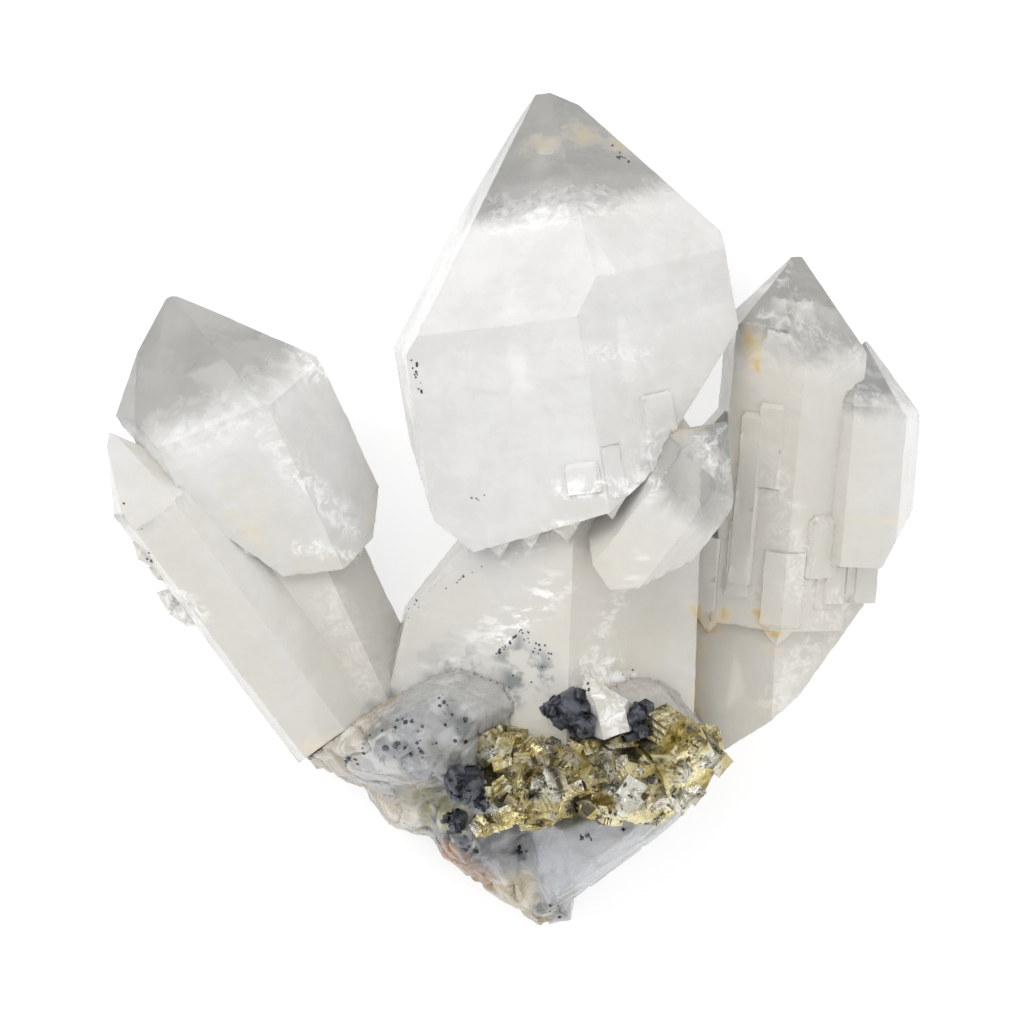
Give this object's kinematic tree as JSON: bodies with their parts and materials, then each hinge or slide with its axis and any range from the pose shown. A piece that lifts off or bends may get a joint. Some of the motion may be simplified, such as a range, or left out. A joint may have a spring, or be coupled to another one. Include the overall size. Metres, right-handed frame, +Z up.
{
  "type": "quartz crystal cluster",
  "caption": "Cluster of milky sceptre quartz crystals fanning out from a lump of vein rock with bright pyrite and dark sulphide grains, lying on its back.",
  "frame": {"origin": "middle of the footprint on the surface that the cluster rests on", "axes": "+Y from the matrix to the tip of the tallest crystal, +X to the right as seen from above, +Z up"},
  "size_m": [0.0974, 0.1002, 0.0377],
  "materials": {
    "quartz": "milky and translucent, clear at the tips, glossy growth faces",
    "matrix": "rough vein rock, grey white with tan and rust stains",
    "pyrite": "bright metallic crystal faces with fine striations",
    "galena": "dark blue grey, broken metallic faces"
  },
  "bodies": {
    "root": {"quartz_crystals": "quartz", "matrix": "matrix", "pyrite_cluster": "pyrite", "pyrite_left_grain": "pyrite", "galena_upper": "galena", "galena_right": "galena", "galena_left": "galena", "galena_lower": "galena", "galena_small": "galena"}
  },
  "joints": []
}
